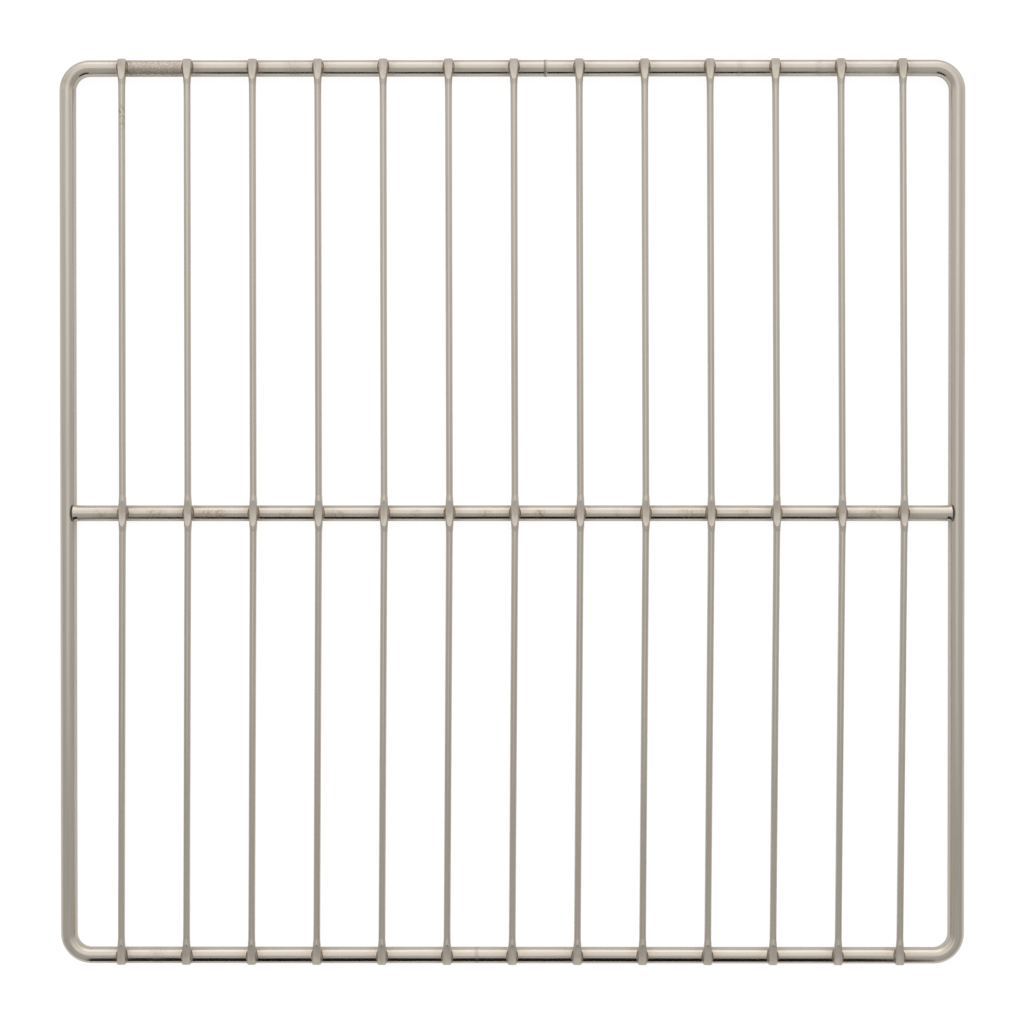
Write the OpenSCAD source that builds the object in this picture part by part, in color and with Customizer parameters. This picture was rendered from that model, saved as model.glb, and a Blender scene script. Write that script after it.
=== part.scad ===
// Welded wire rack that lies flat in the bottom of a deep fryer.
// One bent ring of thick rod, one thick rod across its middle, and thin wires
// laid over both from back to front and spot welded wherever they cross.
// The origin is the middle of the ring on the surface that the rack lies on.
// +Y is the back side, which holds the ring's butt weld, and +X is the right side.

/* [Ring] */
// Overall width of the ring, left to right
rack_w = 352.4; // [280:0.1:460]
// Overall depth of the ring, front to back
rack_d = 352; // [280:0.1:460]
// Diameter of the rod that the ring is bent from
ring_d = 6.35; // [5:0.05:9]
// Inside radius of the four corner bends
corner_in_r = 5.5; // [3:0.1:10]
// How far right of the middle the butt weld stands in the back side
butt_x = 13.1; // [-60:0.1:60]
// Length of the bead that the butt weld leaves along the rod
butt_bead_l = 1.1; // [0.6:0.1:3]
// How far that bead stands proud of the rod
butt_bead_h = 0.16; // [0.05:0.01:0.4]

/* [Middle rod] */
// Diameter of the rod across the middle, whose top is level with the ring's
mid_d = 6.15; // [4:0.05:6.3]
// How far in front of the ring's middle it stands
mid_front = 0.3; // [0:0.1:20]
// How deep its ends are pressed into the ring's sides by the welding
mid_bite = 1.45; // [0.5:0.05:2]
// How far the lip round each pressed end stands proud of the rod
mid_lip_h = 0.3; // [0.1:0.05:0.6]
// Length over which each end swells to that lip
mid_lip_l = 2.2; // [1:0.1:6]
// Rounding of the edge of each end
mid_edge_r = 0.6; // [0.2:0.05:1]

/* [Grid wires] */
// Diameter of a thin wire
wire_d = 2.65; // [1.8:0.05:4]
// Pitch of the wires where they cross the middle rod, counted from the left
wire_pitch = 25.4; // [16:0.1:40]
// From the ring's left edge to the first wire's axis
first_wire_in = 24.9; // [22:0.1:30]
// From the last wire's axis to the ring's right edge
last_wire_in = 24.1; // [22:0.1:30]
// Least distance between the last wire and its neighbour at the pitch
least_gap = 12; // [10:0.5:15]
// How much closer each wire stands to its neighbour at the ring than at the middle rod
ring_pitch_short = 0.07; // [0:0.01:0.2]
// How far to the left the front ends stand of the back ends
front_shift = 0.7; // [0:0.1:2]
// How far the cut ends stand inside the ring's outer edge
wire_end_in = 0.3; // [0:0.05:1]
// Chamfer left round each cut end
wire_end_chamfer = 0.25; // [0.1:0.05:0.5]

/* [Spot welds] */
// How deep each wire is pressed into the rods that it crosses
set_down = 0.6; // [0.2:0.05:0.9]
// How deep the welding electrode flattens the wire's top
flat_depth = 0.4; // [0.1:0.05:0.6]
// Radius along the wire of the hollow that the electrode leaves
flat_r = 24; // [10:1:60]
// How much wider a wire is spread at its cut ends
end_spread = 0.8; // [0.2:0.05:2]
// Length over which it widens towards a cut end
end_spread_l = 10; // [6:0.5:16]
// How much wider a wire is spread on the middle rod
mid_spread = 0.55; // [0.2:0.05:2]
// Length on each side over which it widens towards the middle rod
mid_spread_l = 7; // [4:0.5:12]
// Width of the collar of squeezed metal round each weld, along the rod
collar_w = 4.7; // [4:0.1:7]
// How much of the rod's width that collar spans, along the wire
collar_span = 0.95; // [0.6:0.01:0.98]

/* [Hidden] */
$fn = 96;
// Fineness of the long shallow arcs along which rods and wires widen
arc_fn = 720;
// A barrel runs on by this factor, until it is well inside the rod that it widens
barrel_reach = 1.2;
// How far the two halves of a wire stay apart inside the barrel that joins them
half_gap = 1;
eps = 0.01;

ring_r = ring_d / 2;
mid_r = mid_d / 2;
wire_r = wire_d / 2;
bend_r = corner_in_r + ring_r;

// Axes of the ring's sides, and the ends of their straight stretches
side_x = rack_w / 2 - ring_r;
side_y = rack_d / 2 - ring_r;
straight_x = side_x - bend_r;
straight_y = side_y - bend_r;

// The wires lie across the common top of the ring and the middle rod
rod_top = ring_d;
mid_y = -mid_front;
mid_z = rod_top - mid_r;
wire_z = rod_top + wire_r - set_down;
wire_end_y = rack_d / 2 - wire_end_in;

// Wires follow each other at the pitch as long as the last one keeps its distance
first_x = first_wire_in - rack_w / 2;
last_x = rack_w / 2 - last_wire_in;
wire_count = 2 + floor((last_x - first_x - least_gap) / wire_pitch);

// Where wire i crosses the middle rod, the back side and the front side
function wire_mid_x(i) = i == wire_count ? last_x : first_x + (i - 1) * wire_pitch;
function wire_back_x(i) = wire_mid_x(i) - (i - 1) * ring_pitch_short;
function wire_front_x(i) = wire_back_x(i) - front_shift;

function wire_name(i) = str("grid_wire_", i < 10 ? "0" : "", i);

// Straight round rod along X, centred at its middle
module rod_along_x(r, length) {
    rotate([0, 90, 0]) cylinder(r = r, h = length, center = true);
}

// Straight round rod along Y, centred at its middle
module rod_along_y(r, length) {
    rotate([90, 0, 0]) cylinder(r = r, h = length, center = true);
}

// Radius of the arc that rises by rise at its middle over half a chord
function arc_over(half_chord, rise) = (half_chord * half_chord + rise * rise) / (2 * rise);

// Half section, radius against length, of a long barrel. It is widest at height 0,
// is back to radius r at the given length, and ends inside a rod of that radius.
module barrel_section(r, rise, length) {
    arc_r = arc_over(length, rise);
    intersection() {
        translate([r + rise - arc_r, 0]) circle(r = arc_r, $fn = arc_fn);
        square([r + rise, barrel_reach * length]);
    }
}

// Ring

module corner_bend() {
    rotate_extrude(angle = 90) translate([bend_r, 0]) circle(r = ring_r);
}

// Bead round the rod where its two ends were butted, along Z and dressed off at -X
module butt_bead() {
    bead_r = arc_over(butt_bead_l / 2, butt_bead_h);
    difference() {
        rotate_extrude()
            intersection() {
                translate([ring_r + butt_bead_h - bead_r, 0]) circle(r = bead_r);
                translate([0, -butt_bead_l]) square([ring_d, 2 * butt_bead_l]);
            }
        translate([-ring_d - ring_r + butt_bead_h, -ring_r, -butt_bead_l])
            cube([ring_d, ring_d, 2 * butt_bead_l]);
    }
}

module frame_ring() {
    color([0.72, 0.69, 0.65])
        translate([0, 0, ring_r]) {
            for (side = [-1, 1]) {
                translate([0, side * side_y, 0]) rod_along_x(ring_r, 2 * straight_x);
                translate([side * side_x, 0, 0]) rod_along_y(ring_r, 2 * straight_y);
            }
            for (quarter = [0:3]) {
                x = (quarter == 0 || quarter == 3) ? straight_x : -straight_x;
                y = quarter < 2 ? straight_y : -straight_y;
                translate([x, y, 0]) rotate(90 * quarter) corner_bend();
            }
            translate([butt_x, side_y, 0]) rotate([0, -90, 0]) butt_bead();
        }
}

// Middle rod

// Half section of one pressed end, from the lip's rounded edge inwards
module mid_end_section() {
    difference() {
        barrel_section(mid_r, mid_lip_h, mid_lip_l);
        translate([mid_r + mid_lip_h - mid_edge_r, 0])
            difference() {
                translate([0, -eps]) square([2 * mid_edge_r, mid_edge_r + eps]);
                translate([0, mid_edge_r]) circle(r = mid_edge_r);
            }
    }
}

module middle_rod() {
    half_l = side_x - ring_r + mid_bite;
    color([0.72, 0.69, 0.65])
        difference() {
            translate([0, mid_y, mid_z]) {
                rod_along_x(mid_r, 2 * (half_l - mid_lip_l / 2));
                for (turn = [0, 180])
                    rotate(turn)
                        translate([-half_l, 0, 0])
                            rotate([0, 90, 0]) rotate_extrude() mid_end_section();
            }
            for (side = [-1, 1])
                translate([side * side_x, 0, ring_r]) rod_along_y(ring_r, 2 * straight_y);
            // The lips stay flat where the rack lies on its surface
            translate([-rack_w / 2, mid_y - mid_d, -mid_d]) cube([rack_w, 2 * mid_d, mid_d]);
        }
}

// Grid wires

// Barrel by which a wire is spread on the middle rod
module mid_barrel() {
    rotate([-90, 0, 0])
        rotate_extrude()
            for (end = [0, 1])
                mirror([0, end]) barrel_section(wire_r, mid_spread / 2, mid_spread_l);
}

// Half barrel by which a wire is spread at a cut end, which lies at the origin
module end_barrel() {
    rotate([90, 0, 0])
        rotate_extrude()
            difference() {
                barrel_section(wire_r, end_spread / 2, end_spread_l);
                translate([wire_r + end_spread / 2, 0])
                    rotate(45) square(sqrt(2) * wire_end_chamfer, center = true);
            }
}

// One half of a wire, from the middle rod to a cut end, drawn towards +Y
module wire_half(reach_x, reach_y) {
    length = norm([reach_x, reach_y]);
    rotate(-atan2(reach_x, reach_y)) {
        translate([0, length / 2, 0]) rod_along_y(wire_r, length - half_gap);
        translate([0, length, 0]) end_barrel();
    }
}

// Ball of squeezed metal whose cut with a rod of radius rod_r is the collar seen
// round a weld: collar_w long on top of the rod, closing at collar_span of its width
module collar_ball(rod_r) {
    close_h = rod_r * sqrt(1 - collar_span * collar_span);
    centre_h = collar_w * collar_w / 8 / (rod_r - close_h);
    ball_r = norm([collar_w / 2, rod_r - centre_h]);
    translate([0, 0, rod_top - rod_r + centre_h]) sphere(r = ball_r);
}

// Hollow that the electrode presses into the wire's top
module electrode_hollow() {
    translate([0, 0, wire_z + wire_r - flat_depth + flat_r]) rod_along_x(flat_r, 3 * collar_w);
}

module grid_wire(i) {
    mid = [wire_mid_x(i), mid_y, 0];
    back = [wire_back_x(i), side_y, 0];
    front = [wire_front_x(i), -side_y, 0];
    // The two halves aim at their crossings with the ring and run on to the cut ends
    back_run = (back - mid) * (wire_end_y - mid_y) / (side_y - mid_y);
    front_run = (front - mid) * (wire_end_y + mid_y) / (side_y + mid_y);
    color([0.7, 0.68, 0.64])
        difference() {
            union() {
                translate(mid + [0, 0, wire_z]) {
                    mid_barrel();
                    wire_half(back_run[0], back_run[1]);
                    rotate(180) wire_half(-front_run[0], -front_run[1]);
                }
                translate(mid) collar_ball(mid_r);
                translate(back) collar_ball(ring_r);
                translate(front) collar_ball(ring_r);
            }
            for (crossing = [mid, back, front])
                translate(crossing) electrode_hollow();
            translate([mid[0], mid_y, mid_z]) rod_along_x(mid_r, 3 * collar_w);
            for (crossing = [back, front])
                translate(crossing + [0, 0, ring_r]) rod_along_x(ring_r, 3 * collar_w);
        }
}

frame_ring();
middle_rod();
for (i = [1:wire_count])
    grid_wire(i);
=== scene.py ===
"""Looks of the fryer wire rack: drawn steel rod and wire, spot welded, on a plain white floor."""

import math

import bpy
from mathutils import Matrix, Vector

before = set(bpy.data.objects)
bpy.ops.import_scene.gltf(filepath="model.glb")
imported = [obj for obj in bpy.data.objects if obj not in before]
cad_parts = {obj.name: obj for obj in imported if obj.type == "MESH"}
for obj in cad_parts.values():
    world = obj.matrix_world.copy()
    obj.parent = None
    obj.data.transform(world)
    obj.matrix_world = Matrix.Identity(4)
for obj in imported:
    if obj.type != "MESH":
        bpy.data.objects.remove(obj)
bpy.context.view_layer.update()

MM = 0.001

# The rack's own sizes, in millimetres as in the part's source
RING_R = 3.175
SIDE_X = 173.025
SIDE_Y = 172.825
BEND_R = 8.675
MID_R = 3.075
MID_Y = -0.3
ROD_TOP = 6.35
WIRE_R = 1.325
WIRE_Z = 7.075
WIRE_COUNT = 13
RACK_W = 352.4
BUTT_X = 13.1
MID_END_X = 171.3
FIRST_X = -151.3
LAST_X = 152.1
PITCH = 25.4
RING_PITCH = 25.33
FRONT_SHIFT = 0.7


class Value:
    """A shader value: sums, products and powers of it add their Math nodes."""

    def __init__(self, finish, socket):
        self.finish = finish
        self.socket = socket

    def math(self, operation, *others):
        return self.finish.math(operation, self, *others)

    def __add__(self, other):
        return self.math("ADD", other)

    def __mul__(self, other):
        return self.math("MULTIPLY", other)

    def __sub__(self, other):
        return self.math("SUBTRACT", other)

    def __truediv__(self, other):
        return self.math("DIVIDE", other)

    def __pow__(self, other):
        return self.math("POWER", other)

    def __rsub__(self, other):
        return self.finish.math("SUBTRACT", other, self)

    def __rtruediv__(self, other):
        return self.finish.math("DIVIDE", other, self)

    def __abs__(self):
        return self.math("ABSOLUTE")

    __radd__ = __add__
    __rmul__ = __mul__


class Finish:
    """Builds the nodes of one material, or of the world."""

    def __init__(self, owner):
        owner.use_nodes = True
        self.owner = owner
        self.tree = owner.node_tree
        self.tree.nodes.clear()

    def node(self, kind, settings=None, sockets=None, output=0):
        """Adds a node: its settings first, then its sockets. Gives one output, or all as a list."""
        made = self.tree.nodes.new(kind)
        for name, setting in (settings or {}).items():
            if name == "stops":
                self.set_stops(made.color_ramp.elements, setting)
            else:
                setattr(made, name, setting)
        for name, given in (sockets or {}).items():
            self.feed(self.find(made, name), given)
        if output is None:
            return [Value(self, socket) for socket in made.outputs]
        return Value(self, made.outputs[output])

    def find(self, made, name):
        """A node's input by its place, or by its identifier, which no other input shares."""
        if isinstance(name, int):
            return made.inputs[name]
        return next(socket for socket in made.inputs if socket.identifier == name)

    def feed(self, socket, given):
        if isinstance(given, Value):
            self.tree.links.new(given.socket, socket)
        else:
            socket.default_value = given

    def set_stops(self, elements, stops):
        while len(elements) < len(stops):
            elements.new(1.0)
        for element, (position, colour) in zip(elements, stops):
            element.position = position
            element.color = (*colour, 1.0) if isinstance(colour, tuple) else (colour, colour, colour, 1.0)

    def math(self, operation, *values):
        return self.node("ShaderNodeMath", {"operation": operation}, dict(enumerate(values)))

    def smooth(self, value, start, end):
        """0 before start and 1 after end, or the other way round where end is the smaller."""
        sockets = {"Value": value, "From Min": start, "From Max": end}
        return self.node("ShaderNodeMapRange", {"interpolation_type": "SMOOTHSTEP"}, sockets)

    def clamp(self, value):
        return self.node("ShaderNodeClamp", None, {"Value": value})

    def bell(self, distance, width):
        """1 where the distance is 0, falling to about a third at the given width."""
        return self.math("EXPONENT", (distance / width) ** 2 * -1)

    def length(self, a, b):
        return (a * a + b * b) ** 0.5

    def vector(self, x, y, z):
        return self.node("ShaderNodeCombineXYZ", None, {0: x, 1: y, 2: z})

    def noise(self, place, scale, detail=2.0, roughness=0.5):
        sockets = {"Vector": place, "Scale": scale, "Detail": detail, "Roughness": roughness}
        return self.node("ShaderNodeTexNoise", None, sockets)

    def ramp(self, value, stops, interpolation="LINEAR"):
        """A colour looked up along stops, each a position and a colour or one grey number."""
        made = self.tree.nodes.new("ShaderNodeValToRGB")
        made.color_ramp.interpolation = interpolation
        self.set_stops(made.color_ramp.elements, stops)
        self.feed(made.inputs[0], value)
        return Value(self, made.outputs[0])

    def mix(self, share, first, second, blend="MIX"):
        """Mixes two colours."""
        sockets = {"Factor_Float": share, "A_Color": first, "B_Color": second}
        settings = {"data_type": "RGBA", "blend_type": blend}
        return self.node("ShaderNodeMix", settings, sockets, 2)

    def surface(self, shader, kind="ShaderNodeOutputMaterial"):
        made = self.tree.nodes.new(kind)
        self.feed(made.inputs["Surface"], shader)


def colour(red, green, blue):
    return (red, green, blue, 1.0)


# Steel

# How deep the drawn lines are, in millimetres
LINE_DEPTH = 0.012

# Stains along the rods: left end, right end and strength
SPANS_PER_RAMP = 7
MIDDLE_STAINS = [
    (-162.0, -158.0, 0.5), (-142.0, -135.0, 0.6), (-121.0, -111.0, 0.8), (-90.0, -86.0, 0.6),
    (-71.0, -65.0, 0.6), (-39.0, -36.0, 0.5), (-12.4, -8.5, 0.7), (8.9, 12.8, 1.0), (40.0, 42.5, 0.6),
    (65.0, 73.0, 0.6), (88.5, 92.0, 0.6), (137.0, 143.0, 0.7),
]
BACK_STAINS = [(-150.0, -129.0, 1.0), (-88.0, -82.0, 0.5), (87.5, 89.5, 0.6), (118.0, 120.0, 0.6)]
FRONT_STAINS = [(-141.0, -135.0, 0.4), (-14.6, -13.2, 0.8)]

BRIGHT_STEEL = colour(0.72, 0.655, 0.57)
DULL_STEEL = colour(0.56, 0.50, 0.43)
HEAT_BROWN = colour(0.36, 0.27, 0.20)
# Near black for weld scorch, and for painted shade in the crevices round the middle rod's ends
SCORCH_AND_CREVICE_SHADE = colour(0.05, 0.035, 0.025)
# Dark brown for weld oxide on the collars, and for painted shade under the collars and left of the butt weld bead
WELD_BROWN_AND_SHADE = colour(0.17, 0.125, 0.09)
RUST_STAIN = colour(0.36, 0.225, 0.125)
OLD_STAIN = colour(0.30, 0.225, 0.155)


def millimetres(finish):
    """Where a point of the rack is, in millimetres."""
    place = finish.node("ShaderNodeTexCoord", None, None, 3)
    scaled = finish.node("ShaderNodeVectorMath", {"operation": "SCALE"}, {"Vector": place, "Scale": 1 / MM}, 0)
    x, y, z = finish.node("ShaderNodeSeparateXYZ", None, {0: scaled}, None)
    return scaled, x, y, z


def drawn_lines(finish, across, up, along):
    """Fine lines that the drawing die leaves along a rod, from 0 to 1."""
    fine = finish.noise(finish.vector(across * 5.0, up * 5.0, along * 0.06), 1.0, 3.0, 0.6)
    broad = finish.noise(finish.vector(across * 1.3, up * 1.3, along * 0.012), 1.0, 2.0, 0.5)
    return fine, broad


def nearest_wire(finish, x, rod):
    """Distance along the middle, back or front rod to the nearest wire's axis."""
    pitch = PITCH if rod == "middle" else RING_PITCH
    shift = FRONT_SHIFT if rod == "front" else 0.0
    first = FIRST_X - shift
    last = LAST_X - (PITCH - pitch) * (WIRE_COUNT - 1) - shift
    steps = finish.math("ROUND", (x - first) / pitch)
    held = finish.math("MINIMUM", steps, WIRE_COUNT - 2.0)
    regular = abs(x - (held * pitch + first))
    return finish.math("MINIMUM", regular, abs(x - last))


def stained(finish, x, spans):
    """How stained a rod is along X. A span is its two ends, in millimetres, and its strength."""
    total = 0.0
    for start in range(0, len(spans), SPANS_PER_RAMP):
        stops = [(0.0, 0.0)]
        for left, right, strength in spans[start:start + SPANS_PER_RAMP]:
            fade = min(1.5, (right - left) / 3)
            edges = ((left - fade, 0.0), (left + fade, strength), (right - fade, strength), (right + fade, 0.0))
            stops += [(place / RACK_W + 0.5, value) for place, value in edges]
        total = finish.ramp(x / RACK_W + 0.5, stops) + total
    return total


def steel(name, build):
    material = bpy.data.materials.new(name)
    finish = Finish(material)
    base, roughness, bump_height = build(finish)
    normal = finish.node(
        "ShaderNodeBump",
        None,
        {"Strength": 1.0, "Distance": LINE_DEPTH * MM, "Height": bump_height},
    )
    sockets = {"Base Color": base, "Metallic": 1.0, "Roughness": roughness, "Normal": normal}
    finish.surface(finish.node("ShaderNodeBsdfPrincipled", None, sockets))
    return material


def build_ring(finish):
    place, x, y, z = millimetres(finish)
    past_x = abs(x) - (SIDE_X - BEND_R)
    past_y = abs(y) - (SIDE_Y - BEND_R)
    in_bend = finish.length(finish.math("MAXIMUM", past_x, 0.0), finish.math("MAXIMUM", past_y, 0.0))
    inward = finish.math("MINIMUM", finish.math("MAXIMUM", past_x, past_y), 0.0)
    across = in_bend + inward - BEND_R
    up = z - RING_R
    fine, broad = drawn_lines(finish, across, up, x + y)
    dulled = finish.smooth(broad, 0.4, 0.8) * 0.5 + finish.smooth(fine, 0.45, 0.8) * 0.35
    base = finish.mix(dulled, BRIGHT_STEEL, DULL_STEEL)
    back = finish.bell(nearest_wire(finish, x, "back"), 4.5) * finish.smooth(y, 165.0, 168.0)
    front = finish.bell(nearest_wire(finish, x, "front"), 4.0) * finish.smooth(y, -165.0, -168.0)
    cloud = finish.noise(place, 0.35, 3.0, 0.6)
    heat = finish.clamp((back * 0.9 + front * 0.8) * finish.smooth(cloud, 0.25, 0.6)) * finish.smooth(z, 2.6, 4.6)
    base = finish.mix(heat * 0.55, base, HEAT_BROWN)
    # Stains and pits in the back side, and two small ones in the front side
    mottle = finish.noise(place, 1.1, 4.0, 0.65)
    in_back = finish.smooth(y, 160.0, 165.0)
    in_front = finish.smooth(y, -160.0, -165.0)
    spread = stained(finish, x, BACK_STAINS) * in_back + stained(finish, x, FRONT_STAINS) * in_front
    stain = finish.clamp(spread * (finish.smooth(mottle, 0.36, 0.6) * 0.8 + 0.2)) * finish.smooth(z, 1.5, 3.5)
    base = finish.mix(stain * 0.45, base, OLD_STAIN)
    # The butt weld: painted shade on the left of its bead and a painted highlight on the right
    butt_shade = finish.bell(x - (BUTT_X - 0.35), 0.4) * in_back
    butt_highlight = finish.bell(x - (BUTT_X + 0.4), 0.4) * in_back
    base = finish.mix(butt_shade * 0.65, base, WELD_BROWN_AND_SHADE)
    base = finish.mix(butt_highlight * 0.6, base, BRIGHT_STEEL)
    # The crevice round each end of the middle rod: painted shade and dark reflection in the crevice, with some
    # weld scorch
    off_mid = y - MID_Y
    crevice_x = MID_END_X + 0.35 - off_mid * off_mid * 0.06
    crevice_shade = finish.bell(abs(x) - crevice_x, 0.38) * finish.smooth(abs(off_mid), 3.5, 2.9)
    crevice_shade = crevice_shade * finish.smooth(z, 1.5, 3.0)
    base = finish.mix(crevice_shade * 0.95, base, SCORCH_AND_CREVICE_SHADE)
    roughness = 0.14 + dulled * 0.12 + heat * 0.12 + stain * 0.25 + (butt_shade + butt_highlight + crevice_shade) * 0.2
    return base, roughness, fine + broad * 2.0 + stain * mottle * 2.0


def build_middle(finish):
    place, x, y, z = millimetres(finish)
    across = y - MID_Y
    up = z - (ROD_TOP - MID_R)
    fine, broad = drawn_lines(finish, across, up, x)
    dulled = finish.smooth(broad, 0.4, 0.8) * 0.5 + finish.smooth(fine, 0.45, 0.8) * 0.35
    base = finish.mix(dulled, BRIGHT_STEEL, DULL_STEEL)
    cloud = finish.noise(place, 0.35, 3.0, 0.6)
    weld = finish.bell(nearest_wire(finish, x, "middle"), 4.0) * finish.smooth(cloud, 0.2, 0.6)
    base = finish.mix(weld * finish.smooth(z, 2.6, 4.6) * 0.6, base, HEAT_BROWN)
    # Rust stains along the top, a little in front of the middle
    mottle = finish.noise(place, 0.9, 4.0, 0.6)
    on_top = finish.smooth(across, -2.6, -1.2) * finish.smooth(across, 2.2, 0.6) * finish.smooth(z, 3.0, 4.0)
    stain = stained(finish, x, MIDDLE_STAINS) * (finish.smooth(mottle, 0.42, 0.62) * 0.8 + 0.2) * on_top
    base = finish.mix(finish.clamp(stain) * 0.7, base, RUST_STAIN)
    # The edge of each end, where it meets the ring: painted shade, with some weld scorch
    end_shade_and_scorch = finish.smooth(abs(x), MID_END_X - 0.35, MID_END_X)
    base = finish.mix(end_shade_and_scorch * 0.8, base, SCORCH_AND_CREVICE_SHADE)
    roughness = 0.14 + dulled * 0.12 + weld * 0.1 + finish.clamp(stain) * 0.15
    return base, roughness, fine + broad * 2.0


def build_wire(finish):
    place, x, y, z = millimetres(finish)
    fine, broad = drawn_lines(finish, x, z, y)
    dulled = finish.smooth(broad, 0.4, 0.8) * 0.5 + finish.smooth(fine, 0.45, 0.8) * 0.35
    base = finish.mix(dulled, BRIGHT_STEEL, DULL_STEEL)
    cloud = finish.noise(place, 0.35, 3.0, 0.6)
    off_side = abs(abs(y) - SIDE_Y)
    off_rod = finish.math("MINIMUM", off_side, abs(y - MID_Y))
    weld = finish.bell(off_rod, 3.0)
    # The weld collar round each crossing: weld oxide, with painted shade darkest low down where the wire meets the
    # rod
    collar_shade = finish.smooth(off_rod, 4.0, 3.0) * finish.smooth(z, ROD_TOP + 0.9, ROD_TOP + 0.1)
    base = finish.mix(collar_shade * (finish.smooth(cloud, 0.25, 0.6) * 0.4 + 0.5), base, WELD_BROWN_AND_SHADE)
    base = finish.mix(weld * finish.smooth(cloud, 0.3, 0.7) * 0.3, base, HEAT_BROWN)
    # The brown marks near the back end of the first wire
    mottle = finish.noise(place, 0.8, 3.0, 0.6)
    on_first = finish.smooth(x, -140.0, -145.0) * finish.bell(y - 154.0, 6.0) * finish.smooth(mottle, 0.45, 0.6)
    base = finish.mix(on_first * 0.5, base, OLD_STAIN)
    pressed = finish.bell(off_rod, 5.0)
    roughness = 0.15 + dulled * 0.12 + pressed * 0.2
    return base, roughness, fine + broad * 2.0


ring_steel = steel("thick_rod_ring", build_ring)
middle_steel = steel("thick_rod_middle", build_middle)
wire_steel = steel("thin_wire", build_wire)

for node_name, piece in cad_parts.items():
    wanted = ring_steel if node_name == "frame_ring" else middle_steel if node_name == "middle_rod" else wire_steel
    for held in piece.material_slots:
        held.material = wanted


# Floor, dark card and light

def flat_sheet(name, centre, size, turn):
    """A rectangle that is not part of the rack."""
    bpy.ops.object.select_all(action="DESELECT")
    bpy.ops.mesh.primitive_plane_add(size=1.0, location=centre, rotation=turn)
    sheet = bpy.context.object
    sheet.name = name
    sheet.scale = (size[0], size[1], 1.0)
    bpy.ops.object.transform_apply(location=True, rotation=True, scale=True)
    return sheet


floor = flat_sheet("floor", (0.0, 0.0, 0.0), (6.0, 6.0), (0.0, 0.0, 0.0))
floor_paint = Finish(bpy.data.materials.new("white_floor"))
ray = floor_paint.node("ShaderNodeLightPath", None, None, None)
seen = ray[0] * 0.75 + ray[3] * 0.2
matt = floor_paint.node("ShaderNodeBsdfDiffuse", None, {"Color": colour(0.9, 0.9, 0.9)})
glow = floor_paint.node("ShaderNodeEmission", None, {"Color": colour(1.0, 1.0, 1.0), "Strength": 1.2})
floor_paint.surface(floor_paint.node("ShaderNodeMixShader", None, {0: seen, 1: matt, 2: glow}))
floor.data.materials.append(floor_paint.owner)

card = flat_sheet("dark_card", (-0.015, -0.40, 0.165), (0.44, 0.33), (math.radians(90), 0.0, 0.0))
card.visible_camera = False
card.visible_shadow = False
card.visible_diffuse = False
card_paint = Finish(bpy.data.materials.new("black_card"))
card_paint.surface(card_paint.node("ShaderNodeEmission", None, {"Color": colour(1.0, 1.0, 1.0), "Strength": 0.01}))
card.data.materials.append(card_paint.owner)

# Soft light all round, brightest low behind the rack and dimmest in front of it
world = bpy.data.worlds.new("studio")
bpy.context.scene.world = world
sky = Finish(world)
direction = sky.node("ShaderNodeTexCoord", None, None, 0)
to_x, to_y, to_z = sky.node("ShaderNodeSeparateXYZ", None, {0: direction}, None)
across_top = [
    (-1.0, 0.40), (-0.85, 0.46), (-0.7, 0.48), (-0.5, 0.50), (-0.35, 0.52), (-0.25, 0.56), (-0.2, 0.55),
    (-0.18, 0.40), (-0.16, 0.28), (-0.14, 0.32), (-0.12, 0.55), (-0.1, 0.68), (-0.03, 0.72), (0.03, 0.77),
    (0.06, 0.83), (0.1, 0.89), (0.16, 0.94), (0.3, 0.92), (0.5, 0.94), (0.67, 1.01), (0.84, 1.21),
    (0.93, 1.33), (0.97, 1.30), (1.0, 1.15),
]
beside = [(-1.0, 0.42), (-0.14, 0.46), (-0.05, 0.5), (0.05, 0.57), (0.15, 0.64), (0.6, 0.85), (1.0, 1.0)]
overhead_light = sky.ramp(to_y * 0.5 + 0.5, [((p + 1) / 2, v / 2) for p, v in across_top])
side_light = sky.ramp(to_y * 0.5 + 0.5, [((p + 1) / 2, v / 2) for p, v in beside])
in_strip = sky.smooth(abs(to_x), 0.55, 0.15)
light = sky.mix(in_strip, side_light, overhead_light)
lit = sky.node("ShaderNodeBackground", None, {"Color": light, "Strength": 2.0})
white = sky.node("ShaderNodeBackground", None, {"Color": colour(1.0, 1.0, 1.0), "Strength": 1.0})
sky_ray = sky.node("ShaderNodeLightPath", None, None, None)
sky.surface(sky.node("ShaderNodeMixShader", None, {0: sky_ray[0], 1: lit, 2: white}), "ShaderNodeOutputWorld")

# Camera, straight above the rack but for a fraction of a degree
TILT = [math.radians(angle) for angle in (0.525, -0.201, 0.007)]
SHIFT = Vector((0.06, -0.17, 0.0)) * MM
AWAY = 857.6 * MM
turned = Matrix.Rotation(TILT[0], 3, "X") @ Matrix.Rotation(TILT[1], 3, "Y") @ Matrix.Rotation(TILT[2], 3, "Z")
place = turned.transposed() @ (Vector((0.0, 0.0, AWAY)) - SHIFT) + Vector((0.0, 0.0, RING_R * MM))
camera = bpy.data.objects.new("camera", bpy.data.cameras.new("camera"))
bpy.context.scene.collection.objects.link(camera)
camera.matrix_world = Matrix.Translation(place) @ turned.transposed().to_4x4()
camera.data.sensor_width = 36.0
camera.data.lens = 2200 / 1024 * 36.0
bpy.context.scene.camera = camera

bpy.context.scene.view_settings.view_transform = "Standard"
